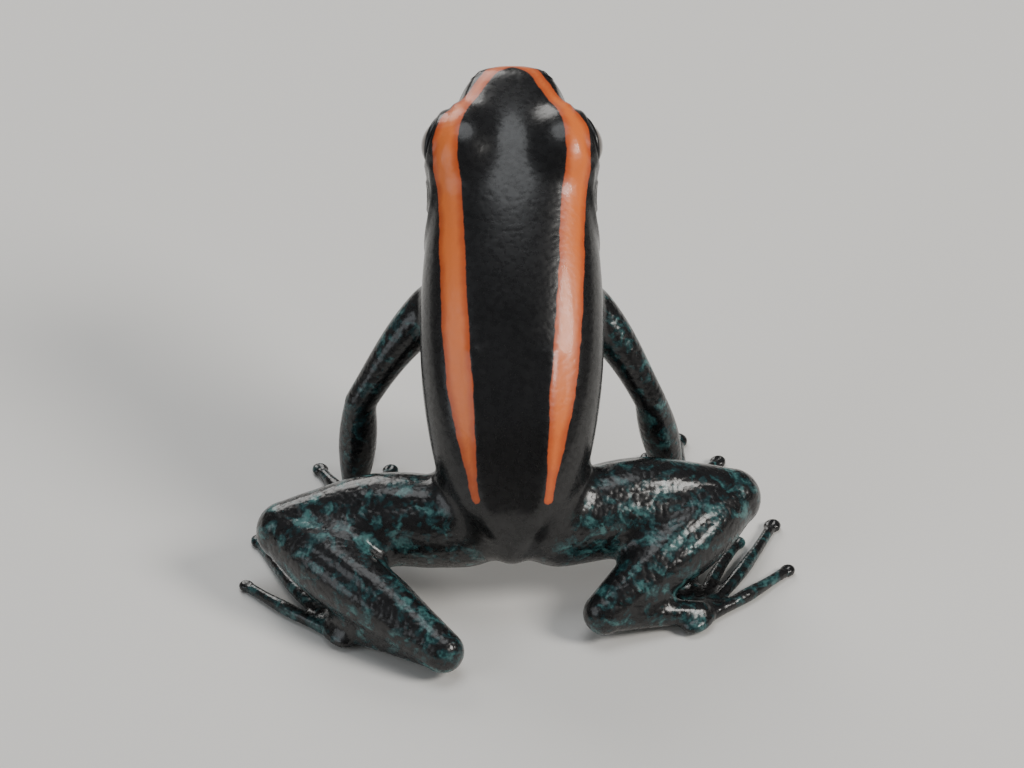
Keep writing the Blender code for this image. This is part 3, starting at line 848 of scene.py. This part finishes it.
def refine(mesh, chosen):
    """Halves the edges whose two ends are chosen, and fills their faces with smaller ones."""
    ends, _ = neighbours(mesh)
    sheet = bmesh.new()
    sheet.from_mesh(mesh)
    sheet.edges.ensure_lookup_table()
    edges = [sheet.edges[i] for i in np.flatnonzero(chosen[ends].all(axis=1))]
    bmesh.ops.subdivide_edges(sheet, edges=edges, cuts=1, use_grid_fill=True)
    sheet.to_mesh(mesh)
    sheet.free()


def near_features(points):
    """Which points lie round the mouth, the eyes, the nostrils and the ear drums."""
    near = far_from(points, mouth_line()) < 0.8
    for side in (1, -1):
        near |= far_from(points, eye_place(side)[0]) < LIDS + 0.3
        near |= far_from(points, on_skin(NOSTRIL, side)) < 0.8
        near |= far_from(points, on_skin(EAR, side)) < EAR_RADIUS + 0.5
    return near


def near_finest(points):
    """Which points lie right at the mouth, the nostrils or the rims of the lids."""
    near = far_from(points, mouth_line()) < 0.28
    for side in (1, -1):
        near |= far_from(points, on_skin(NOSTRIL, side)) < 0.45
        _, ahead, _, size = before_eye(points, side)
        near |= (ahead > 0) & (size > 0.8) & (size < 1.25)
    return near


def near_digits(points):
    """Which points lie on the fingers and toes."""
    near = np.zeros(len(points), bool)
    for side in SIDES:
        for route, _, middle, _, disc in fans(side):
            line = np.array([route[0] * 0.75 + route[1] * 0.25, *route[1:], middle])
            near |= far_from(points, line) < DIGIT_REACH
            near |= far_from(points, middle) < disc * 1.45
    return near


def soften_roots(mesh):
    """Rounds the skin where the limbs leave the body and in the hollows of the knees."""
    edges, count = neighbours(mesh)
    points = read_points(mesh)
    soft = np.zeros(len(points))
    for side in SIDES:
        at = JOINTS[side]
        knee = np.array(at["knee"])
        hollow = knee + (unit(at["hip"] - knee) + unit(at["heel"] - knee)) * KNEE_HOLLOW
        for middle, reach in (
            (at["shoulder"], SOFT_SHOULDER),
            (at["hip"], SOFT_HIP),
            (hollow, SOFT_KNEE),
        ):
            far = far_from(points, np.array(middle))
            soft = np.maximum(soft, 1 - rise(far, 0.45 * reach, reach))
    for _ in range(ROOT_ROUNDS):
        points = pull_even(points, edges, count, 0.5 * soft)
    write_points(mesh, points)


def open_lids(points):
    """Draws the skin before each eye back under the ball, so that the ball shows between lids."""
    for side in (1, -1):
        spoke, ahead, _, size = before_eye(points, side)
        open_here = (1 - rise(size, 0.90, 1.04)) * (ahead > 0)
        far = np.linalg.norm(spoke, axis=1)
        under = np.minimum(far, UNDER_BALL)
        wanted = far + (under - far) * open_here
        points = points + spoke * (wanted / np.maximum(far, 1e-6) - 1)[:, None]
    return points


def on_skin(place, side=1):
    """Where (share of the length, angle) lies on the skin, on the left or, for -1, the right."""
    share, angle = place
    return with_lids(body_surface(share * SNOUT_VENT, angle)) * (side, 1, 1)


def skin_line(knots, side=1):
    """A smooth line on the skin through (share of the length, angle)."""
    return on_skin(evenly_through(knots, 60), side)


def far_from(points, goal):
    """Distance from each point to a place, or to the nearest part of a line."""
    if goal.ndim > 1:
        return distance_to_line(points, goal)[0]
    return np.linalg.norm(points - goal, axis=1)


def ridges(far, table):
    """The sum of the ridges and furrows of a table, at these distances."""
    return sum(height * bump(far, middle, width) for height, middle, width in table)


def relief(points):
    """How far the small forms stand out of the skin, in millimetres.

    They are soft ridges and furrows: the lips, nostrils, ear drums and the folds over them, the
    hollow before each eye, the fold of the upper lid, and over the hips the ends of the pelvis.
    """
    made = ridges(far_from(points, mouth_line()), LIPS)
    for side in (1, -1):
        for where, table in AROUND:
            goal = on_skin(where, side) if np.ndim(where) == 1 else skin_line(where, side)
            made += ridges(far_from(points, goal), table)
        drum = far_from(points, on_skin(EAR, side))
        made -= EAR_SINK * (1 - rise(drum, 0.35, 0.62))
        _, ahead, above, size = before_eye(points, side)
        made += ridges(size, LID_FOLD) * (ahead > 0) * rise(above, 0.1, 0.8)
    return made


def muscles(points):
    """Shallow furrows between the long muscles of the thighs and shanks, in millimetres.

    Each one follows a line on the limb's tube, at a share of the way round it, and fades out
    towards both joints.
    """
    made = np.zeros(len(points))
    for side in SIDES:
        at = JOINTS[side]
        for rings, rounds, (depth, width) in (
            (thigh(at), MUSCLES_THIGH[side], THIGH_FURROW),
            (shank(at), MUSCLES_SHANK[side], SHANK_FURROW),
        ):
            for share in rounds:
                line = rings[36:-36:6, int(share * rings.shape[1])]
                far, along = distance_to_line(points, line)
                made -= depth * bump(far, 0.0, width) * np.sin(math.pi * along)
    return made


def disc_grooves(points, normals):
    """The groove between the two scutes on top of each finger and toe disc, in millimetres."""
    made = np.zeros(len(points))
    top = np.clip(normals[:, 2], 0, 1) ** 2
    for side in SIDES:
        for _, _, middle, ahead, disc in fans(side):
            spoke = points - middle
            across = np.abs(spoke @ np.cross(ahead, (0, 0, 1)))
            inside = 1 - rise(np.abs(spoke @ ahead + disc * 0.25), disc * 0.55, disc * 0.95)
            made -= 0.07 * bump(across, 0.0, 0.10) * inside * top * (across < disc)
    return made


def shift_to_solids():
    """From the pose, in millimetres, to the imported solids, in metres."""
    low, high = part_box("torso")
    head_low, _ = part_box("head")
    along, angle = np.meshgrid(np.linspace(0.9, 1, 60) * SNOUT_VENT, np.arange(0, 360, 3.0))
    snout = with_lids(body_surface(along, angle))
    return np.array([(low[0] + high[0]) / 2, head_low[1] - snout[..., 1].min() * MM, 0.0])


def settle(made, moved):
    """Moves a piece from the pose onto the solids, and lets it ride on the body."""
    mesh = made.data
    write_points(mesh, read_points(mesh) + moved)
    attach(made, BODY)


class Wire:
    """A value in a node tree. Arithmetic with numbers and other wires adds Math nodes."""

    def __init__(self, recipe, socket):
        self.recipe = recipe
        self.socket = socket

    def math(self, operation, *values):
        return self.recipe.add("ShaderNodeMath", {"operation": operation}, dict(enumerate(values)))

    def __add__(self, other):
        return self.math("ADD", self, other)

    def __sub__(self, other):
        return self.math("SUBTRACT", self, other)

    def __rsub__(self, other):
        return self.math("SUBTRACT", other, self)

    def __mul__(self, other):
        return self.math("MULTIPLY", self, other)

    def most(self, other):
        return self.math("MAXIMUM", self, other)

    def step(self, low, high):
        """0 below low, 1 above high, and a smooth S between."""
        settings = {"interpolation_type": "SMOOTHSTEP"}
        sockets = {"Value": self, "From Min": low, "From Max": high}
        return self.recipe.add("ShaderNodeMapRange", settings, sockets)

    __radd__ = __add__
    __rmul__ = __mul__


class Recipe:
    """One material and its nodes."""

    def __init__(self, name):
        self.material = bpy.data.materials.new(name)
        self.material.use_nodes = True
        self.tree = self.material.node_tree
        self.tree.nodes.clear()

    def add(self, kind, settings=None, sockets=None, out=0):
        """Adds a node, sets its settings, then fills its sockets with values or wires."""
        node = self.tree.nodes.new(kind)
        for name, value in (settings or {}).items():
            setattr(node, name, value)
        for name, value in (sockets or {}).items():
            if isinstance(value, Wire):
                self.tree.links.new(value.socket, node.inputs[name])
            else:
                node.inputs[name].default_value = value
        return Wire(self, node.outputs[out])

    def attribute(self, name):
        return self.add("ShaderNodeAttribute", {"attribute_name": name}, out=2)

    def millimetres(self):
        """The place on the frog, in millimetres."""
        sockets = {"Vector": self.add("ShaderNodeTexCoord", out=3), "Scale": 1 / MM}
        return self.add("ShaderNodeVectorMath", {"operation": "SCALE"}, sockets)

    def noise(self, place, scale, detail=2.0, distortion=0.0):
        sockets = {"Vector": place, "Scale": scale, "Detail": detail, "Distortion": distortion}
        return self.add("ShaderNodeTexNoise", sockets=sockets)

    def cells(self, place, scale):
        """Distance to the middles of irregular cells, smoothed where they meet."""
        sockets = {"Vector": place, "Scale": scale}
        return self.add("ShaderNodeTexVoronoi", {"feature": "SMOOTH_F1"}, sockets)

    def mix(self, share, low, high):
        """A colour that goes from low to high."""
        low, high = ((*c, 1.0) if isinstance(c, tuple) else c for c in (low, high))
        return self.add("ShaderNodeMix", {"data_type": "RGBA"}, {0: share, 6: low, 7: high}, out=2)

    def finish(self, shader_sockets):
        shader = self.add("ShaderNodeBsdfPrincipled", sockets=shader_sockets)
        output = self.tree.nodes.new("ShaderNodeOutputMaterial")
        self.tree.links.new(shader.socket, output.inputs["Surface"])
        return self.material


def skin_material(sizes, colours):
    """Moist, finely granular black skin with its markings."""
    made = Recipe("frog_skin")
    place = made.millimetres()
    stripe, pale = made.attribute("stripe"), made.attribute("pale")
    limb, belly = made.attribute("limb"), made.attribute("belly")
    ragged = made.noise(place, 1.1, 2.0) - 0.5
    grain = made.noise(place, 7.0, 3.0) - 0.5

    on_stripe = (stripe + ragged * 0.22 + grain * 0.05).step(-0.035, 0.045)
    in_stripe = (stripe + ragged * 0.35).step(0.03, 0.5)
    orange = made.mix(in_stripe, tuple(colours.stripe_edge), tuple(colours.stripe))
    on_line = (pale + ragged * 0.26 + grain * 0.16).step(-0.05, 0.10)
    line = made.mix(made.attribute("pale_end"), tuple(colours.pale), tuple(colours.mottle_light))

    blotch = made.noise(place, 1.25, 5.0, 0.6)
    fleck = made.cells(place, 3.1)
    where = limb.most(belly * 0.9)
    cover = blotch + (0.45 - fleck) * 0.22 + grain * 0.12 + where * 0.09
    mottle = cover.step(0.585, 0.675) * where
    bright = (blotch + grain * 0.3).step(0.55, 0.72)
    teal = made.mix(bright, tuple(colours.mottle), tuple(colours.mottle_light))
    tint = made.noise(place, 0.35, 2.0).step(0.3, 0.7)
    ground = made.mix(tint, tuple(colours.back), tuple(c * 1.6 for c in colours.back))
    skin = made.mix(mottle * 0.9, ground, teal)
    skin = made.mix(on_line * 0.9, skin, line)
    skin = made.mix(on_stripe, skin, orange)

    granule = made.cells(place, MM / sizes.granule)
    dome = 1 - granule * granule * 2.2
    fine = made.noise(place, 8.0, 1.0)
    height = dome * (0.25 + 0.75 * limb.most(belly)) + fine * 0.10
    rough = made.noise(place, 3.0, 2.0)
    relief_sockets = {"Height": height, "Strength": 0.35, "Distance": GRANULE_HEIGHT * MM}
    return made.finish(
        {
            "Base Color": skin,
            "Roughness": rough * 0.20 + 0.18 + on_stripe * 0.08,
            "Specular IOR Level": 0.42,
            "Coat Weight": rough.step(0.35, 0.7) * 0.25 + 0.10,
            "Coat Roughness": 0.10,
            "Normal": made.add("ShaderNodeBump", sockets=relief_sockets),
        }
    )


def eye_material(colours):
    """A dark eye: black pupil, dark bronze iris with fine streaks, under a wet surface."""
    made = Recipe("frog_eye")
    ring, turn = made.attribute("iris"), made.attribute("iris_turn")
    place = made.millimetres()
    streak = made.noise(place, 7.0, 3.0)
    bronze = tuple(colours.iris)
    gold = tuple(min(1.0, c * 3.2) for c in bronze)
    iris = made.mix((streak + turn * 0.05).step(0.45, 0.75), bronze, gold)
    pupil = 1 - ring.step(0.44, 0.50)
    rim = ring.step(0.78, 0.92)
    dark = (0.003, 0.003, 0.004)
    base = made.mix(pupil.most(rim), iris, dark)
    return made.finish(
        {"Base Color": base, "Roughness": 0.12, "Coat Weight": 1.0, "Coat Roughness": 0.02}
    )


def plain_material(name, base, roughness):
    made = Recipe(name)
    return made.finish({"Base Color": (*base, 1.0), "Roughness": roughness})


class FROG_OT_skin(Operator):
    """Make the one skin that stands for all nodes of flesh"""

    bl_idname = "frog.skin"
    bl_label = "Skin"

    def execute(self, context):
        sizes, colours = context.scene.frog_sizes, context.scene.frog_colours
        flesh = all_flesh()
        skin = flesh.copy()
        skin.name = "skin"
        context.scene.collection.objects.link(skin)
        with_modifier(skin, "REMESH", mode="VOXEL", voxel_size=sizes.fineness / MM)
        self.even_out(skin.data, sizes.smoothing)
        points = read_points(skin.data)
        refine(skin.data, near_digits(points) | near_features(points))
        refine(skin.data, near_finest(read_points(skin.data)))
        self.even_out(skin.data, 1)
        with_modifier(skin, "SHRINKWRAP", target=flesh)
        bpy.data.objects.remove(flesh)
        mesh = skin.data
        fill_creases(mesh, sizes.filling)
        soften_roots(mesh)
        points, normals = read_points(mesh), read_normals(mesh)
        height = relief(points) + muscles(points) + disc_grooves(points, normals)
        points += normals * height[:, None]
        points = open_lids(points)
        points[:, 2] = np.maximum(points[:, 2], 0.0)
        self.mark(mesh, points, sizes)
        write_points(mesh, points * MM)
        mesh.shade_smooth()
        mesh.materials.clear()
        mesh.materials.append(skin_material(sizes, colours))
        settle(skin, shift_to_solids())
        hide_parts(*FLESH)
        return {"FINISHED"}

    def even_out(self, mesh, times):
        """Evens out the mesh without shrinking it: a step inwards, then one outwards."""
        edges, count = neighbours(mesh)
        points = read_points(mesh)
        for strength in EVEN_STEPS * times:
            points = pull_even(points, edges, count, strength)
        write_points(mesh, points)

    def mark(self, mesh, points, sizes):
        """Writes how far each point lies inside the markings, in millimetres, and on what part."""
        along, across, height = body_place(points)
        over = over_body(along, across, height)
        far, share = distance_to_line(points, stripe_line())
        to_end = np.minimum(share, 1 - share) * 2
        half = sizes.stripe_width / MM / 2 * (0.35 + 0.65 * rise(to_end, 0.0, 0.24))
        half = half * (1 - 0.54 * rise(to_end, 0.70, 0.90))
        off_body = (over > 0.4) & (along < 0.5 * SNOUT_VENT)
        write_attribute(mesh, "stripe", np.where(off_body, -1.0, half - far))
        reach = [distance_to_line(points, skin_line(PALE_LINE, side)) for side in (1, -1)]
        nearer = reach[0][0] < reach[1][0]
        far, share = (np.where(nearer, *pair) for pair in zip(*reach))
        half = 0.2 + 0.8 * rise(share, 0.0, 0.2) - 0.35 * rise(share, 0.5, 1.0)
        half = half * sizes.pale_width / MM / 2
        write_attribute(mesh, "pale", half - far)
        write_attribute(mesh, "pale_end", share)
        limb = rise(over, 0.10, 0.80) * (along < 0.72 * SNOUT_VENT)
        write_attribute(mesh, "limb", limb)
        below = inner_section(along)[2]
        write_attribute(mesh, "belly", rise(-height / below, 0.15, 0.65))


class FROG_OT_eyes(Operator):
    """Make both eyes"""

    bl_idname = "frog.eyes"
    bl_label = "Eyes"

    def execute(self, context):
        finish = eye_material(context.scene.frog_colours)
        for side, name in ((1, "left"), (-1, "right")):
            eye = self.make_eye(side, f"eyeball_{name}")
            eye.data.materials.append(finish)
            settle(eye, shift_to_solids())
            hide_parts(f"eye_{name}")
        return {"FINISHED"}

    def make_eye(self, side, name):
        """A ball whose front swells a little, as the cornea does.

        The angle from where the eye looks gives the swelling and the rings of the iris.
        """
        centre, aim, long_way, over = eye_axes(side)
        rings = ball(centre, aim, (EYE_BALL,) * 3, over, 56, 72)
        points, quads, fans = closed_surface(rings)
        spoke = points - centre
        cosine = spoke @ aim / EYE_BALL
        swell = 1 + CORNEA * rise(cosine, 0.55, 1.0)
        points = centre + spoke * swell[:, None]
        eye = new_object(name, points, [quads, fans])
        wide, high = spoke @ long_way, spoke @ over
        ring = np.hypot(wide / IRIS_LONG, high) / IRIS_RADIUS
        ring = np.where(cosine > 0, ring, 2.0)
        write_attribute(eye.data, "iris", ring)
        write_attribute(eye.data, "iris_turn", np.sin(np.arctan2(high, wide) * 23))
        return eye


class FROG_OT_lids(Operator):
    """Make the rims of the lids"""

    bl_idname = "frog.lids"
    bl_label = "Lid rims"

    def execute(self, context):
        sizes, colours = context.scene.frog_sizes, context.scene.frog_colours
        base = tuple(c * 1.2 for c in colours.back)
        finish = plain_material("lid_rim", base, 0.35)
        for side, name in ((1, "left"), (-1, "right")):
            rim = self.make_rim(side, f"lid_rim_{name}", sizes.lid_rim / MM)
            rim.data.materials.append(finish)
            settle(rim, shift_to_solids())
        return {"FINISHED"}

    def make_rim(self, side, name, thick):
        """A rounded rim carried round the opening, over the ball.

        Its path is an ellipse across the eye's line of sight, lifted onto the ball, and the upper
        lid is thicker than the lower one.
        """
        centre, aim, long_way, over = eye_axes(side)
        turns, around = 96, 14
        turn = np.linspace(0, 2 * math.pi, turns, endpoint=False)
        wide = OPENING[0] * EYE_BALL * np.cos(turn)
        sine = np.sin(turn)
        high = OPENING[1] * EYE_BALL * np.sign(sine) * np.abs(sine) ** (2 / OPENING_POWER)
        ahead = np.sqrt((EYE_BALL + RIM_OVER_BALL) ** 2 - wide**2 - high**2)
        path = centre + np.stack([wide, high, ahead], -1) @ np.stack([long_way, over, aim])
        tangent = np.roll(path, -1, axis=0) - np.roll(path, 1, axis=0)
        tangent /= lengths(tangent)
        out = path - centre
        out /= lengths(out)
        across = np.cross(tangent, out)
        size = thick * (1 + 0.35 * sine)[:, None, None]
        roll = whole_turn(around)
        ring = path[:, None] + size * (np.cos(roll) * out[:, None] + np.sin(roll) * across[:, None])
        i, j = np.meshgrid(np.arange(turns), np.arange(around), indexing="ij")
        i2, j2 = (i + 1) % turns, (j + 1) % around
        quads = np.stack([i * around + j, i2 * around + j, i2 * around + j2, i * around + j2], -1)
        quads = quads.reshape(-1, 4)
        points = ring.reshape(-1, 3)
        inner = np.repeat(path, around, axis=0)
        if faces_inwards(points, quads, inner[quads[:, 0]]):
            quads = quads[:, ::-1]
        return new_object(name, points, [quads])


class FROG_OT_stage(Operator):
    """Make the floor, the lights and the camera"""

    bl_idname = "frog.stage"
    bl_label = "Stage"

    def execute(self, context):
        stage = context.scene.frog_stage
        self.make_floor(tuple(stage.floor))
        middle = Vector((0, 0, 8 * MM))
        for name, place, size, power, tint in LIGHTS:
            light = bpy.data.lights.new(name, "AREA")
            light.shape = "DISK"
            light.size = size
            light.energy = stage.key * power
            light.color = tint
            lamp = bpy.data.objects.new(name, light)
            lamp.location = place
            lamp.rotation_euler = (middle - lamp.location).to_track_quat("-Z", "Y").to_euler()
            context.scene.collection.objects.link(lamp)
        world = bpy.data.worlds.new("studio")
        world.use_nodes = True
        background = world.node_tree.nodes["Background"]
        background.inputs["Color"].default_value = (0.85, 0.90, 0.95, 1)
        background.inputs["Strength"].default_value = 0.16
        context.scene.world = world
        self.make_camera(stage.elevation)
        return {"FINISHED"}

    def make_floor(self, base):
        """A level round sheet that curves up far away on all sides.

        Its profile is a level line and then a quarter circle, turned round the upright axis.
        """
        level, curve, tall = 0.9, 0.35, 0.45
        bend = np.linspace(0, math.pi / 2, 24)[1:]
        out = np.concatenate([[0.05, 0.3, level], level + curve * np.sin(bend), [level + curve]])
        up = np.concatenate([[0, 0, 0], curve * (1 - np.cos(bend)), [curve + tall]]) - 0.02 * MM
        around = 96
        turn = whole_turn(around)[0, :, 0]
        out, up = out[:, None], up[:, None]
        rings = np.stack([out * np.cos(turn), out * np.sin(turn), up + 0 * turn], -1)
        points = np.concatenate([rings.reshape(-1, 3), [(0, 0, up[0, 0])]])
        quads, ends = closed_faces(len(out), around)
        floor = new_object("floor", points / MM, [quads[:, ::-1], ends[:around, ::-1]])
        floor.data.materials.append(plain_material("floor_paper", base, 0.9))
        floor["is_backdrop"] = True

    def make_camera(self, elevation):
        """Behind the frog and above it, where the photograph was taken from.

        The lens shows the stretch of the photograph round the frog, and the tip of the snout lies
        where it does there.
        """
        moved = shift_to_solids()
        back = np.array([0, math.cos(elevation), math.sin(elevation)])
        up = np.array([0, -math.sin(elevation), math.cos(elevation)])
        outline = body_rings().reshape(-1, 3) * MM + moved
        tip = outline[(outline @ up).argmax()]
        aim = up * (tip @ up - SNOUT_OVER_MIDDLE * MM_PER_PIXEL * MM)
        aim += back * (tip @ back) * AIM_DEPTH
        aim[0] = moved[0]
        camera = bpy.data.objects.new("camera", bpy.data.cameras.new("camera"))
        camera.data.sensor_width = SENSOR
        camera.data.lens = PHOTO_FOCUS * SENSOR / PHOTO_WINDOW
        camera.data.clip_start = 0.01
        camera.location = aim + back * PHOTO_FOCUS * MM_PER_PIXEL * MM
        camera.rotation_euler = Vector(-back).to_track_quat("-Z", "Y").to_euler()
        bpy.context.scene.collection.objects.link(camera)
        bpy.context.scene.camera = camera


class FROG_PT_panel(Panel):
    """Sizes, colours and steps of the frog."""

    bl_idname = "FROG_PT_panel"
    bl_label = "Golfodulcean poison frog"
    bl_space_type = "VIEW_3D"
    bl_region_type = "UI"
    bl_category = "Frog"

    def draw(self, context):
        for group in GROUPS:
            settings = getattr(context.scene, group)
            box = self.layout.box()
            for name in settings.__annotations__:
                box.prop(settings, name)
        for step in STEPS:
            self.layout.operator(step.bl_idname)


GROUPS = {"frog_sizes": FrogSizes, "frog_colours": FrogColours, "frog_stage": FrogStage}
STEPS = (FROG_OT_skin, FROG_OT_eyes, FROG_OT_lids, FROG_OT_stage)
CLASSES = (*GROUPS.values(), *STEPS, FROG_PT_panel)


def register():
    for made in CLASSES:
        bpy.utils.register_class(made)
    for name, group in GROUPS.items():
        setattr(bpy.types.Scene, name, PointerProperty(type=group))


def unregister():
    for name in GROUPS:
        delattr(bpy.types.Scene, name)
    for made in reversed(CLASSES):
        bpy.utils.unregister_class(made)


def main():
    register()
    bpy.ops.frog.skin()
    bpy.ops.frog.eyes()
    bpy.ops.frog.lids()
    bpy.ops.frog.stage()
    boxes = [[list(corner) for corner in box] for box in (CAD_BOX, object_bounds())]


if __name__ == "__main__":
    main()
